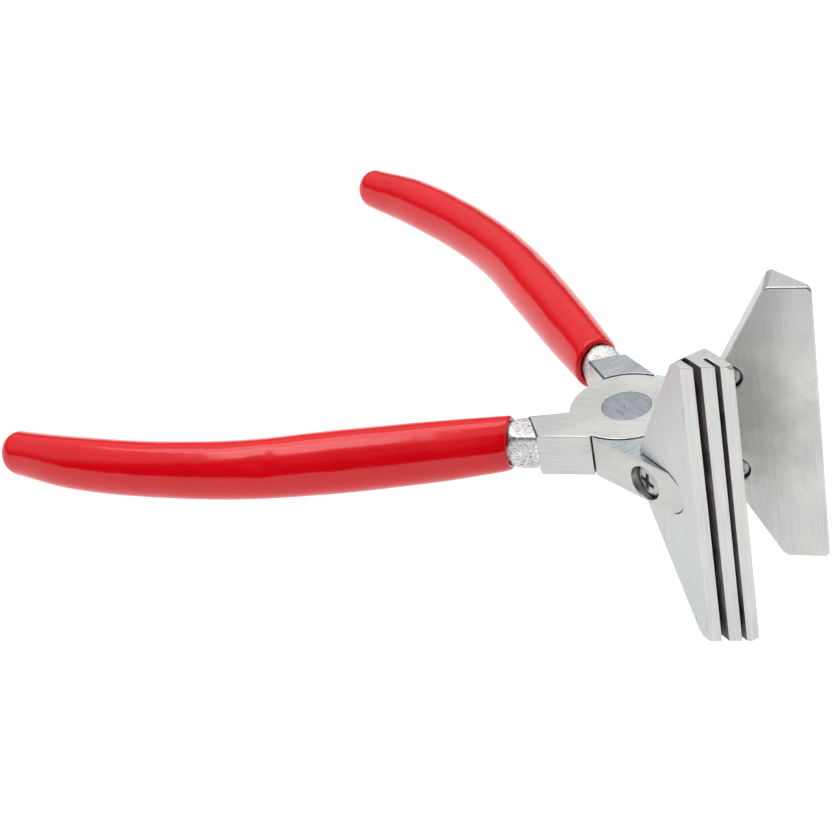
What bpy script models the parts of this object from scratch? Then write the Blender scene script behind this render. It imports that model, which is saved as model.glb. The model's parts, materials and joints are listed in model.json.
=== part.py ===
"""Hand seamer: wide-jawed pliers that grip and fold the edge of sheet metal.

Two levers cross at a round half-lapped hub and turn on one flush rivet. Each lever
carries a dipped grip on its handle and a wide jaw, held by one screw, on its arm.
The tool is modelled as it lies on a bench, fully open: on the ends of its grips and
on the lower corners of its jaws.

Both levers have the same shape, one of them turned over, but for their handles, which
both rise a little towards the tool's upper face. Every piece of a lever is therefore
drawn in the same lever frame, closed: the rivet's centre is the origin, +X points to
the jaw, +Z runs along the rivet, the arm and the jaw are on the +Y side, the handle
is on the -Y side, and the lever owns the upper half of the lap. The upper face of
the tool is at +Z in the plain lever's frame and at -Z in the slotted lever's.
Lengths are in metres and angles in degrees unless a name says otherwise.
"""

import math

import bmesh
import bpy
from mathutils import Matrix, Vector

# Fits
GAP = 0.0003               # between pieces that touch or turn on each other
OVERCUT = 0.001            # how far a cutter runs past the face that it opens

# Pose
OPEN_HALF_ANGLE = 22.1     # each lever's turn from closed to fully open
REST_TILT = 11.15          # how far the jaw end is tipped up when the tool lies down

# Levers
LEVER_THICKNESS = 0.0129
HUB_RADIUS = 0.0159
LAP_RADIUS = 0.0163        # clearance arc that the other lever's hub turns in
HUB_SEGMENTS = 72
BLOCK_SHOULDER = -114.6    # polar angle of the face that stops the opening
BLOCK_SHOULDER_RADIUS = 0.0169
BLOCK_INNER_ANGLE = 192.1  # polar angle where the hub meets the handle block
BLOCK_INNER_CORNER = (-0.0272, -0.0055)
BLOCK_OUTER_CORNER = (-0.0225, -0.0154)
ARM_SHOULDER = 69.3        # polar angle of the other stop face
ARM_SHOULDER_RADIUS = 0.0168
ARM_INNER_Y = 0.0043
ARM_TIP_X = 0.0388
ARM_TIP_OUTER_Y = 0.0101
LUG_RADIUS = LEVER_THICKNESS / 2

# Rivet
RIVET_RADIUS = 0.0045
RIVET_HEAD_RADIUS = 0.0070
RIVET_HEAD_LAND = 0.0010
RIVET_HEAD_DEPTH = 0.0030
RIVET_SINK = 0.00005       # how far its faces lie below the lever's
DIMPLE_RADIUS = 0.0007
DIMPLE_DEPTH = 0.0004
RIVET_SEGMENTS = 48

# Handles: stations along the centre line, each x, y, rise and the grip's upright radius
HANDLE_STATIONS = (
    (-0.0311, -0.0110, 0.00091, 0.00822),
    (-0.0520, -0.0157, 0.00086, 0.00918),
    (-0.0780, -0.0212, 0.00080, 0.00960),
    (-0.1060, -0.0262, 0.00074, 0.00908),
    (-0.1340, -0.0272, 0.00068, 0.00870),
    (-0.1600, -0.0248, 0.00062, 0.00832),
    (-0.1783, -0.0207, 0.00058, 0.00716),
)
GRIP_OVAL = 0.91           # the grip's level radius as a share of its upright radius
STEPS_PER_STATION = 4
GRIP_SEGMENTS = 28
GRIP_WALL = 0.0019
GRIP_LIP_ROUND = 0.0008
CAP_STEPS = 5
TANG_END = 0.90            # share of the handle's length that the steel tang fills
SHANK_STATIONS = (         # x, y, rise, level and upright half sizes of the squared shank
    (-0.0203, -0.0099, 0.00035, 0.0052, 0.0054),
    (-0.0270, -0.0105, 0.00055, 0.0053, 0.0058),
)
SHANK_SQUARENESS = 4.0     # 2 would be an ellipse, and a square is far above

# Jaws
JAW_LENGTH = 0.0889
JAW_FRONT_X = 0.0529
JAW_END_BACK_X = 0.0404
JAW_BACK_X = 0.0207
JAW_BACK_HALF_HEIGHT = 0.0075
JAW_FACE_SETBACK = 0.0002
JAW_OUTER_Y = 0.0105
JAW_CORNER = 0.0011        # chamfer on the corners of the jaw's outline
POCKET_FLOOR_Y = ARM_INNER_Y - GAP
POCKET_CLEARANCE = 0.00035
SLOTTED_RIDGE_X = 0.0443
SLOTTED_LIP = 0.0005
PLAIN_RIDGE_X = 0.0408
PLAIN_LIP = 0.0010
SLOTS = (                  # each slot's near wall, far wall and floor
    (0.0029, 0.0039, 0.0451),
    (0.0065, 0.0080, 0.0400),
)

# Screws that hold the jaws on the arms
JAW_SCREW_X = 0.0245
JAW_SCREW_Z = 0.0007       # the screw sits a little off the middle of the lug
COUNTERBORE_RADIUS = 0.0051
COUNTERBORE_FLOOR_Y = 0.0091
JAW_SCREW_HEAD_RADIUS = 0.0047
JAW_SCREW_HEAD_HEIGHT = 0.0023
JAW_SCREW_RADIUS = 0.0022
JAW_SCREW_END_Y = 0.0013

# Screws in the plain jaw's gripping face
FACE_SCREW_X = 0.0289
FACE_SCREW_Z = 0.0154      # half their spacing
FACE_SCREW_RISE = 0.0007   # the pair sits a little above the jaw's middle
FACE_SCREW_HEAD_RADIUS = 0.0036
FACE_SCREW_HEAD_HEIGHT = 0.0018
FACE_SCREW_SINK = 0.0006
FACE_SCREW_RADIUS = 0.0015
FACE_SCREW_END_Y = 0.0080

SCREW_SEGMENTS = 32
CROSS_WIDTH = 0.0010
CROSS_DEPTH = 0.0013
CROSS_SHARE = 0.62         # the cross recess's reach as a share of the head radius
HEAD_DOME = (              # shares of a head's radius and height, from its crown out
    (0.45, 0.00), (0.70, 0.07), (0.88, 0.20), (0.97, 0.36), (1.00, 0.52),
)
CROSS_TURN = 8.0           # the recess's turn from the jaw's length

SMOOTH_ANGLE = 32.0

MATERIALS = {              # base colour, metallic, roughness
    "forged_steel": ((0.60, 0.61, 0.61), 1.0, 0.34),
    "rivet_steel": ((0.45, 0.49, 0.53), 1.0, 0.30),
    "ground_steel": ((0.62, 0.62, 0.61), 1.0, 0.30),
    "screw_steel": ((0.50, 0.50, 0.50), 1.0, 0.35),
    "dipped_vinyl": ((0.72, 0.008, 0.012), 0.0, 0.22),
}


def clear_scene():
    """Remove every object that is already in the file."""
    for old in list(bpy.data.objects):
        bpy.data.objects.remove(old, do_unlink=True)


def material_for(node, kind):
    """A Principled BSDF material of the node's own."""
    color, metallic, roughness = MATERIALS[kind]
    material = bpy.data.materials.new(node)
    material.use_nodes = True
    shader = material.node_tree.nodes["Principled BSDF"]
    shader.inputs["Base Color"].default_value = (*color, 1.0)
    shader.inputs["Metallic"].default_value = metallic
    shader.inputs["Roughness"].default_value = roughness
    return material


def mesh_object(name, bm):
    """Turn a bmesh into an object in the scene, with its faces pointing out."""
    bmesh.ops.recalc_face_normals(bm, faces=bm.faces)
    mesh = bpy.data.meshes.new(name)
    bm.to_mesh(mesh)
    bm.free()
    piece = bpy.data.objects.new(name, mesh)
    bpy.context.scene.collection.objects.link(piece)
    return piece


def prism(name, outline, axis, low, high):
    """Extrude a closed outline along Y or Z, from low to high.

    The outline holds (x, y) points for axis "Z" and (x, z) points for axis "Y".
    """
    bm = bmesh.new()
    if axis == "Z":
        corners = [bm.verts.new((x, y, low)) for x, y in outline]
        travel = Vector((0, 0, high - low))
    else:
        corners = [bm.verts.new((x, low, z)) for x, z in outline]
        travel = Vector((0, high - low, 0))
    base = bm.faces.new(corners)
    grown = bmesh.ops.extrude_face_region(bm, geom=[base])
    top = [item for item in grown["geom"] if isinstance(item, bmesh.types.BMVert)]
    bmesh.ops.translate(bm, verts=top, vec=travel)
    return mesh_object(name, bm)


def loft(name, rings):
    """Skin a row of rings and close both ends. A ring of one point is a pole."""
    bm = bmesh.new()
    rows = [[bm.verts.new(point) for point in ring] for ring in rings]
    for row, following in zip(rows, rows[1:]):
        count = max(len(row), len(following))
        for i in range(count):
            j = (i + 1) % count
            if len(row) == 1:
                bm.faces.new((row[0], following[i], following[j]))
            elif len(following) == 1:
                bm.faces.new((row[i], following[0], row[j]))
            else:
                bm.faces.new((row[i], following[i], following[j], row[j]))
    for row in (rows[0], rows[-1]):
        if len(row) > 1:
            bm.faces.new(row)
    return mesh_object(name, bm)


def turned(name, profile, segments, axis="Z", centre=(0.0, 0.0, 0.0)):
    """A solid of revolution. The profile holds (radius, height along the axis)."""
    rings = []
    for radius, height in profile:
        steps = segments if radius > 0 else 1
        ring = []
        for step in range(steps):
            angle = 2 * math.pi * step / segments
            across = radius * math.cos(angle)
            along = radius * math.sin(angle)
            if axis == "Z":
                offset = Vector((across, along, height))
            else:
                offset = Vector((across, height, along))
            ring.append(Vector(centre) + offset)
        rings.append(ring)
    return loft(name, rings)


def cylinder(name, radius, low, high, segments, axis="Z", centre=(0.0, 0.0, 0.0)):
    """A plain cylinder from low to high along its axis."""
    return turned(name, ((radius, low), (radius, high)), segments, axis, centre)


def boolean(target, tool, operation="DIFFERENCE"):
    """Apply a Boolean of the tool to the target and remove the tool."""
    modifier = target.modifiers.new(operation.lower(), "BOOLEAN")
    modifier.operation = operation
    modifier.solver = "EXACT"
    modifier.object = tool
    bpy.context.view_layer.update()
    graph = bpy.context.evaluated_depsgraph_get()
    result = bpy.data.meshes.new_from_object(target.evaluated_get(graph))
    target.modifiers.clear()
    target.data = result
    bpy.data.objects.remove(tool, do_unlink=True)


def finish(piece, kind, parent):
    """Give a piece its own material, smooth its round faces and parent it."""
    piece.data.materials.clear()
    piece.data.materials.append(material_for(piece.name, kind))
    piece.data.shade_smooth()
    piece.data.set_sharp_from_angle(angle=math.radians(SMOOTH_ANGLE))
    piece.parent = parent
    return piece


def polar(radius, degrees):
    """The plane point at a radius and an angle."""
    angle = math.radians(degrees)
    return (radius * math.cos(angle), radius * math.sin(angle))


def arc(radius, start, end, steps, centre=(0.0, 0.0)):
    """Points along an arc from one angle to another, both ends included."""
    points = []
    for step in range(steps + 1):
        x, y = polar(radius, start + (end - start) * step / steps)
        points.append((centre[0] + x, centre[1] + y))
    return points


def handle_path(up):
    """Stations of the handle from front to back; up is the sign of its rise.

    A Catmull-Rom curve through the given stations gives the handle its bow.
    """
    stations = [Vector((x, y, up * rise, radius)) for x, y, rise, radius in HANDLE_STATIONS]
    ends = (2 * stations[0] - stations[1], 2 * stations[-1] - stations[-2])
    knots = [ends[0], *stations, ends[1]]
    path = []
    for before, start, end, after in zip(knots, knots[1:], knots[2:], knots[3:]):
        for step in range(STEPS_PER_STATION):
            t = step / STEPS_PER_STATION
            bend = (2 * before - 5 * start + 4 * end - after) * t
            twist = (3 * start - before - 3 * end + after) * t * t
            path.append(start + (end - before + bend + twist) * t / 2)
    path.append(stations[-1])
    return path


def headings(path):
    """The unit direction of travel at each point of the path.

    The first one is square to the lever, as the front of the grip is.
    """
    result = [Vector((-1, 0, 0))]
    for i in range(1, len(path)):
        ahead = path[min(i + 1, len(path) - 1)]
        behind = path[i - 1]
        result.append(Vector((ahead.x - behind.x, ahead.y - behind.y, 0)).normalized())
    return result


def squared(value, squareness):
    """A sine or cosine drawn out towards the side of a square."""
    return math.copysign(abs(value) ** (2 / squareness), value)


def hoop(centre, heading, level, upright, squareness=2.0):
    """An oval ring around a centre, square to the heading, from its two half sizes."""
    side = Vector((-heading.y, heading.x, 0))
    up = Vector((0, 0, 1))
    ring = []
    for step in range(GRIP_SEGMENTS):
        angle = 2 * math.pi * step / GRIP_SEGMENTS
        across = level * squared(math.cos(angle), squareness)
        above = upright * squared(math.sin(angle), squareness)
        ring.append(centre + side * across + up * above)
    return ring


def grip_hoop(station, heading, inset, shift=0.0):
    """A grip's ring at a station, drawn in by the inset and shifted along the heading."""
    centre = Vector((station.x, station.y, station.z)) + heading * shift
    return hoop(centre, heading, station.w * GRIP_OVAL - inset, station.w - inset)


def domed_end(station, heading, inset):
    """Rings that close a handle with a round end, and its pole."""
    centre = Vector((station.x, station.y, station.z))
    level = station.w * GRIP_OVAL - inset
    upright = station.w - inset
    rings = []
    for step in range(1, CAP_STEPS):
        angle = math.pi / 2 * step / CAP_STEPS
        middle = centre + heading * level * math.sin(angle)
        rings.append(hoop(middle, heading, level * math.cos(angle), upright * math.cos(angle)))
    rings.append([centre + heading * level])
    return rings


def swept(path, inset, count):
    """Rings along the first points of the path, drawn in by the inset."""
    ways = headings(path)
    rings = [grip_hoop(station, way, inset) for station, way in zip(path[:count], ways)]
    return rings + domed_end(path[count - 1], ways[count - 1], inset)


def lever_outline():
    """The lever's outline seen along the rivet, counterclockwise."""
    inner_angle = math.degrees(math.asin(ARM_INNER_Y / HUB_RADIUS))
    outline = [polar(BLOCK_SHOULDER_RADIUS, BLOCK_SHOULDER)]
    outline += arc(HUB_RADIUS, BLOCK_SHOULDER, inner_angle, 26)
    outline.append((ARM_TIP_X, ARM_INNER_Y))
    outline.append((ARM_TIP_X, ARM_TIP_OUTER_Y))
    outline.append(polar(ARM_SHOULDER_RADIUS, ARM_SHOULDER))
    outline += arc(HUB_RADIUS, ARM_SHOULDER, BLOCK_INNER_ANGLE, 24)
    outline.append(BLOCK_INNER_CORNER)
    outline.append(BLOCK_OUTER_CORNER)
    return outline


def stadium(radius, centre_x, back_x):
    """Outline of a bar with a round front end, in X and Z."""
    return [(back_x, -radius), *arc(radius, -90, 90, 16, (centre_x, 0.0)), (back_x, radius)]


def rivet_profile(clearance, through):
    """Half of the rivet, from its waist up: radius and height along the rivet."""
    top = LEVER_THICKNESS / 2 - RIVET_SINK
    shoulder = top - RIVET_HEAD_LAND
    neck = top - RIVET_HEAD_DEPTH
    return [
        (RIVET_RADIUS + clearance, neck - clearance / 2),
        (RIVET_HEAD_RADIUS + clearance, shoulder - clearance / 2),
        (RIVET_HEAD_RADIUS + clearance, top + through),
    ]


def make_lever(name, up, parent):
    """One forged lever: hub half, handle block, tang, arm and lug."""
    half = LEVER_THICKNESS / 2
    lever = prism(name, lever_outline(), "Z", -half, half)
    lap = cylinder("lap", LAP_RADIUS, -half - OVERCUT, GAP / 2, HUB_SEGMENTS)
    boolean(lever, lap)

    profile = [(0.0, -OVERCUT), (RIVET_RADIUS + GAP, -OVERCUT)]
    profile += rivet_profile(GAP, OVERCUT)
    profile.append((0.0, half + OVERCUT))
    boolean(lever, turned("rivet_hole", profile, RIVET_SEGMENTS))

    lug_centre = ARM_TIP_X - LUG_RADIUS
    beyond = ARM_TIP_X + OVERCUT
    corner = [
        (lug_centre, -half - OVERCUT), (beyond, -half - OVERCUT),
        (beyond, half + OVERCUT), (lug_centre, half + OVERCUT),
        *arc(LUG_RADIUS, 90, -90, 16, (lug_centre, 0.0)),
    ]
    boolean(lever, prism("lug_end", corner, "Y", 0.0, HUB_RADIUS))

    screw_centre = (JAW_SCREW_X, 0.0, JAW_SCREW_Z)
    bore = ((JAW_SCREW_RADIUS + GAP, 0.0),
            (JAW_SCREW_RADIUS + GAP, COUNTERBORE_FLOOR_Y),
            (COUNTERBORE_RADIUS, COUNTERBORE_FLOOR_Y),
            (COUNTERBORE_RADIUS, HUB_RADIUS))
    boolean(lever, turned("counterbore", bore, SCREW_SEGMENTS, "Y", screw_centre))

    boolean(lever, make_tang(up), "UNION")
    return finish(lever, "forged_steel", parent)


def tang_count(path):
    """How many points of the handle path the tang runs through."""
    return round(len(path) * TANG_END)


def make_tang(up):
    """The squared shank behind the handle block, and the round tang inside the grip."""
    path = handle_path(up)
    forward = Vector((-1, 0, 0))
    rings = []
    for x, y, rise, level, upright in SHANK_STATIONS:
        centre = Vector((x, y, up * rise))
        rings.append(hoop(centre, forward, level, upright, SHANK_SQUARENESS))
    rings += swept(path, GRIP_WALL + GAP, tang_count(path))
    return loft("tang", rings)


def make_grip(name, up, parent):
    """A dipped grip: a round-ended sleeve, open at the front, that follows the handle."""
    path = handle_path(up)
    bore = swept(path, GRIP_WALL, tang_count(path))
    skin = swept(path, 0.0, len(path))
    way = headings(path)[0]
    face_ring = grip_hoop(path[0], way, GRIP_LIP_ROUND)
    skin[0] = grip_hoop(path[0], way, 0.0, GRIP_LIP_ROUND)
    grip = loft(name, [*reversed(bore), face_ring, *skin])
    return finish(grip, "dipped_vinyl", parent)


def make_rivet(parent):
    """The flush rivet, with a countersunk head in each lever."""
    upper = rivet_profile(0.0, 0.0)
    face = upper[-1][1]
    upper += [(DIMPLE_RADIUS, face), (0.0, face - DIMPLE_DEPTH)]
    lower = [(radius, -height) for radius, height in reversed(upper)]
    rivet = turned("pivot_rivet", lower + upper, RIVET_SEGMENTS)
    return finish(rivet, "rivet_steel", parent)


def jaw_outline():
    """The jaw's outline seen square to its gripping face, in X and Z."""
    half = JAW_LENGTH / 2
    side = Vector((JAW_END_BACK_X - JAW_BACK_X, half - JAW_BACK_HALF_HEIGHT)).normalized()
    upper = [
        (JAW_FRONT_X, half - JAW_CORNER),
        (JAW_FRONT_X - JAW_CORNER, half),
        (JAW_END_BACK_X + JAW_CORNER, half),
        (JAW_END_BACK_X - side.x * JAW_CORNER, half - side.y * JAW_CORNER),
        (JAW_BACK_X, JAW_BACK_HALF_HEIGHT),
    ]
    return upper + [(x, -z) for x, z in reversed(upper)]


def front_cutter(ridge_x, lip):
    """A wedge that slopes the jaw's front from its ridge to its thin lip."""
    lip_y = JAW_FACE_SETBACK + lip
    lean = (JAW_FRONT_X - ridge_x) / (JAW_OUTER_Y - lip_y)
    above = JAW_OUTER_Y + OVERCUT
    ahead = JAW_FRONT_X + OVERCUT
    outline = [
        (ridge_x - lean * OVERCUT, above),
        (ahead, lip_y - OVERCUT / lean),
        (ahead, above),
    ]
    reach = JAW_LENGTH / 2 + OVERCUT
    return prism("front", outline, "Z", -reach, reach)


def make_jaw(name, ridge_x, lip):
    """A jaw without its slots or face screws: plate, sloped front, pocket, screw hole."""
    jaw = prism(name, jaw_outline(), "Y", JAW_FACE_SETBACK, JAW_OUTER_Y)
    boolean(jaw, front_cutter(ridge_x, lip))
    pocket = stadium(LUG_RADIUS + POCKET_CLEARANCE, ARM_TIP_X - LUG_RADIUS,
                     JAW_BACK_X - OVERCUT)
    boolean(jaw, prism("pocket", pocket, "Y", POCKET_FLOOR_Y, JAW_OUTER_Y + OVERCUT))
    hole = cylinder("hole", JAW_SCREW_RADIUS + GAP, JAW_SCREW_END_Y - GAP,
                    POCKET_FLOOR_Y + OVERCUT, SCREW_SEGMENTS, "Y", (JAW_SCREW_X, 0.0, JAW_SCREW_Z))
    boolean(jaw, hole)
    return jaw


def make_slotted_jaw(parent):
    """The jaw whose thick sloped front has two slots along its whole length."""
    jaw = make_jaw("slotted_jaw", SLOTTED_RIDGE_X, SLOTTED_LIP)
    reach = JAW_LENGTH / 2 + OVERCUT
    ahead = JAW_FRONT_X + OVERCUT
    for near, far, floor in SLOTS:
        outline = [(floor, near), (ahead, near), (ahead, far), (floor, far)]
        boolean(jaw, prism("slot", outline, "Z", -reach, reach))
    return finish(jaw, "ground_steel", parent)


def make_plain_jaw(parent):
    """The wedge-shaped jaw, with two sunk screws in its gripping face."""
    jaw = make_jaw("plain_jaw", PLAIN_RIDGE_X, PLAIN_LIP)
    seat = JAW_FACE_SETBACK + FACE_SCREW_SINK + FACE_SCREW_HEAD_HEIGHT + GAP
    sunk = ((FACE_SCREW_HEAD_RADIUS + GAP, -OVERCUT),
            (FACE_SCREW_HEAD_RADIUS + GAP, seat),
            (FACE_SCREW_RADIUS + GAP, seat),
            (FACE_SCREW_RADIUS + GAP, FACE_SCREW_END_Y + GAP))
    for side in (1, -1):
        centre = (FACE_SCREW_X, 0.0, FACE_SCREW_RISE + side * FACE_SCREW_Z)
        boolean(jaw, turned("sunk", sunk, SCREW_SEGMENTS, "Y", centre))
    return finish(jaw, "ground_steel", parent)


def cross_cutter(top_y, into, reach, centre):
    """A cross-shaped recess that starts at the head's top and runs into it."""
    half = CROSS_WIDTH / 2
    inner = half * math.sqrt(2)
    outline = []
    for quarter in range(4):
        base = CROSS_TURN + 90 * quarter
        tip = math.degrees(math.atan2(half, reach))
        outline.append(polar(math.hypot(reach, half), base - tip))
        outline.append(polar(math.hypot(reach, half), base + tip))
        outline.append(polar(inner, base + 45))
    shifted = [(x + centre[0], z + centre[2]) for x, z in outline]
    low, high = sorted((top_y - into * OVERCUT, top_y + into * CROSS_DEPTH))
    return prism("cross", shifted, "Y", low, high)


def make_screw(name, centre, top_y, into, head, shank, end_y, parent):
    """A domed cross-recess screw along Y; into is +1 or -1, from the head to the tip.

    head holds the head's radius and height, and shank is the shank's radius.
    """
    radius, height = head
    seat_y = top_y + into * height
    profile = [(radius * share, top_y + into * height * drop) for share, drop in HEAD_DOME]
    profile += [(radius, seat_y), (shank, seat_y), (shank, end_y)]
    screw = turned(name, profile, SCREW_SEGMENTS, "Y", centre)
    boolean(screw, cross_cutter(top_y, into, radius * CROSS_SHARE, centre))
    return finish(screw, "screw_steel", parent)


def make_jaw_screw(name, parent):
    """The screw in the lug's counterbore that holds a jaw."""
    top_y = COUNTERBORE_FLOOR_Y + GAP + JAW_SCREW_HEAD_HEIGHT
    head = (JAW_SCREW_HEAD_RADIUS, JAW_SCREW_HEAD_HEIGHT)
    centre = (JAW_SCREW_X, 0.0, JAW_SCREW_Z)
    make_screw(name, centre, top_y, -1, head, JAW_SCREW_RADIUS, JAW_SCREW_END_Y, parent)


def make_face_screws(parent):
    """The two sunk screws in the plain jaw's gripping face."""
    head = (FACE_SCREW_HEAD_RADIUS, FACE_SCREW_HEAD_HEIGHT)
    top_y = JAW_FACE_SETBACK + FACE_SCREW_SINK
    for name, side in (("upper_face_screw", 1), ("lower_face_screw", -1)):
        centre = (FACE_SCREW_X, 0.0, FACE_SCREW_RISE + side * FACE_SCREW_Z)
        make_screw(name, centre, top_y, 1, head, FACE_SCREW_RADIUS, FACE_SCREW_END_Y, parent)


def empty(name, parent=None, rotation=(0.0, 0.0, 0.0)):
    """An empty that places the pieces below it. The rotation is in degrees."""
    marker = bpy.data.objects.new(name, None)
    bpy.context.scene.collection.objects.link(marker)
    marker.rotation_euler = [math.radians(angle) for angle in rotation]
    marker.parent = parent
    return marker


def settle(root):
    """Move the whole tool so that its box stands centred on the floor's origin."""
    bpy.context.view_layer.update()
    corners = []
    for piece in bpy.data.objects:
        if piece.type == "MESH":
            corners += [piece.matrix_world @ vertex.co for vertex in piece.data.vertices]
    low = Vector([min(corner[i] for corner in corners) for i in range(3)])
    high = Vector([max(corner[i] for corner in corners) for i in range(3)])
    root.location = (-(low.x + high.x) / 2, -(low.y + high.y) / 2, -low.z)
    bpy.context.view_layer.update()


def main():
    clear_scene()
    pivot = empty("rest_pose", None, (0.0, -REST_TILT, 0.0))
    plain_side = empty("plain_lever_frame", pivot, (0.0, 0.0, OPEN_HALF_ANGLE))
    slotted_side = empty("slotted_lever_frame", pivot, (180.0, 0.0, -OPEN_HALF_ANGLE))
    make_rivet(pivot)
    for label, up, side in (("plain", 1, plain_side), ("slotted", -1, slotted_side)):
        make_lever(label + "_jaw_lever", up, side)
        make_grip(label + "_lever_grip", up, side)
        make_jaw_screw(label + "_jaw_screw", side)
    make_plain_jaw(plain_side)
    make_slotted_jaw(slotted_side)
    make_face_screws(plain_side)
    settle(pivot)


main()
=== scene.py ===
"""Looks of the hand seamer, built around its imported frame.

Every piece is drawn in its own lever's frame, closed, as the CAD is: the rivet's
centre is the origin, +X points to the jaw, +Z runs along the rivet, the arm and the
jaw are on the +Y side and the handle is on the -Y side. The two lever frames come
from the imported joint, so each piece lands on the CAD node that it replaces.
Lengths are in metres, and angles in degrees unless a name says otherwise.
"""

import json
import math

import bmesh
import bpy
from mathutils import Matrix, Vector, noise


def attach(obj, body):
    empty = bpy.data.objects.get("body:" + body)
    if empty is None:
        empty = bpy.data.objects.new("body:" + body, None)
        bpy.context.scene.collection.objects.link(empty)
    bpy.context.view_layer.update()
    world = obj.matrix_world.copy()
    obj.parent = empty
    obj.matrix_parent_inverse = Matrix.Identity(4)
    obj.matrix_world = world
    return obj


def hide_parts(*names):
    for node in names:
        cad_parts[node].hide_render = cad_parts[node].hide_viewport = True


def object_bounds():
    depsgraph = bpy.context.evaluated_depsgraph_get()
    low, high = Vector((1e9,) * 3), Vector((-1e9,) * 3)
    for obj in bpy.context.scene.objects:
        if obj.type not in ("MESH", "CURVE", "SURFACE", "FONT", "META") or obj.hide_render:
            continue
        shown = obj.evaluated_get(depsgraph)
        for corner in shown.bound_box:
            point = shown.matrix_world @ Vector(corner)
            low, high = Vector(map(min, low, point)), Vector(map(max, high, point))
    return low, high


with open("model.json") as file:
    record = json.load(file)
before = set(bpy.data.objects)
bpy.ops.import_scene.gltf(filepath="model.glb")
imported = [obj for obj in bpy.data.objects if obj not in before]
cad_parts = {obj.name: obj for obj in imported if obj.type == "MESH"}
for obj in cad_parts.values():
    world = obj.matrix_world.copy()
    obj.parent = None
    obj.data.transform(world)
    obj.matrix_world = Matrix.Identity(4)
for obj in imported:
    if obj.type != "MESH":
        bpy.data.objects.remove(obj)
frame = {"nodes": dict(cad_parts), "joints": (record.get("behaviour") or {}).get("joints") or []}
CAD_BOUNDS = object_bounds()

# ---------------------------------------------------------------- frames and sizes

JOINT = frame["joints"][0]
PIVOT = Vector(JOINT["pos_m"])
TILT = math.atan2(-JOINT["axis"][0], JOINT["axis"][2])
OPEN_HALF = math.radians(JOINT["range_deg"][1]) / 2
REST = Matrix.Translation(PIVOT) @ Matrix.Rotation(-TILT, 4, "Y")
PLAIN = REST @ Matrix.Rotation(OPEN_HALF, 4, "Z")
SLOTTED = REST @ Matrix.Rotation(-OPEN_HALF, 4, "Z") @ Matrix.Rotation(math.pi, 4, "X")


def local_box(node, lever):
    """Lowest and highest corner of a CAD node in its lever's frame."""
    inverse = lever.inverted()
    corners = [inverse @ vertex.co for vertex in frame["nodes"][node].data.vertices]
    low = Vector([min(corner[i] for corner in corners) for i in range(3)])
    high = Vector([max(corner[i] for corner in corners) for i in range(3)])
    return low, high


LEVER_HIGH = local_box("plain_jaw_lever", PLAIN)[1]
JAW_LOW, JAW_HIGH = local_box("plain_jaw", PLAIN)
RIVET_HIGH = local_box("pivot_rivet", REST)[1]
JAW_SCREW_LOW, JAW_SCREW_HIGH = local_box("plain_jaw_screw", PLAIN)
FACE_SCREW_LOW, FACE_SCREW_HIGH = local_box("upper_face_screw", PLAIN)

GAP = 0.0003
OVERCUT = 0.001
FLAT_AREA = 5.5e-6         # a larger face (square metres) is a plane, not a facet

# Levers
HALF_THICKNESS = RIVET_HIGH.z + 0.00005     # the rivet is set this far below the top
HUB_RADIUS = 0.0159
LAP_RADIUS = 0.01645       # drawn a little wide, so that the dark gap shows
HUB_STEPS = 132
HUB_ARC_STEPS = (52, 48)   # on the arm's inner side, then on its outer side
BLOCK_SHOULDER = -116.5
BLOCK_SHOULDER_RADIUS = 0.0169
BLOCK_INNER_ANGLE = 192.1
BLOCK_INNER_CORNER = (-0.0272, -0.0055)
BLOCK_OUTER_CORNER = (-0.0225, -0.0154)
ARM_SHOULDER = 70.3
ARM_SHOULDER_RADIUS = 0.0168
ARM_INNER_Y = 0.0043
ARM_TIP_X = LEVER_HIGH.x
ARM_TIP_OUTER_Y = 0.0101
LUG_RADIUS = HALF_THICKNESS
LUG_STEPS = 40
LEVER_BEVEL = 0.00022
BLOCK_STEP = 0.00060       # a chamfer along the block's back edges, painted dark as a reflection
BLOCK_BACK_X = -0.0190     # the step is on the edges behind this
BLOCK_OUTER_Y = -0.0125    # and further in than this

# Rivet
RIVET_RADIUS = 0.0045
RIVET_HEAD_RADIUS = RIVET_HIGH.y
RIVET_HEAD_LAND = 0.0010
RIVET_HEAD_DEPTH = 0.0030
RIVET_SEAM = 0.00006       # the visible line round the peened head
DIMPLE_RADIUS = 0.0006
DIMPLE_DEPTH = 0.0004

# Handles: stations along the centre line, each x, y, rise and the grip's upright radius
HANDLE_STATIONS = (
    (-0.0311, -0.0110, 0.00091, 0.00822),
    (-0.0520, -0.0157, 0.00086, 0.00918),
    (-0.0780, -0.0212, 0.00080, 0.00960),
    (-0.1060, -0.0262, 0.00074, 0.00908),
    (-0.1340, -0.0272, 0.00068, 0.00870),
    (-0.1600, -0.0248, 0.00062, 0.00832),
    (-0.1783, -0.0207, 0.00058, 0.00716),
)
GRIP_OVAL = 0.91           # the grip's level radius as a share of its upright radius
GRIP_WALL = 0.0019
GRIP_STEPS = 120
GRIP_PATH_STEPS = 40       # rings between two stations
GRIP_TIP_STEPS = 28
GRIP_TIP_SQUARENESS = 2.7
SKIN_ALLOWANCE = 0.00030   # keeps the uneven skin inside the even one
BORE_END = 30              # the ring of the path where the sleeve's bore is closed
BORE_RINGS = (28, 12, 4)
LIP_INNER = 0.0004         # radii of the sleeve's rolled mouth
LIP_OUTER = 0.0008
LIP_RINGS = 4              # rings of the path that the mouth takes up
PINCH_PLACE = (-0.0985, -0.0318, 0.0085)
PINCH_DEPTH = 0.00050
PINCH_WIDTH = 0.0038
SHANK_STATIONS = (         # x, y, rise, level and upright half sizes of the squared shank
    (-0.0203, -0.0099, 0.00035, 0.0052, 0.0054),
    (-0.0270, -0.0105, 0.00055, 0.0053, 0.0058),
)
SHANK_SQUARENESS = 7.0
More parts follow.
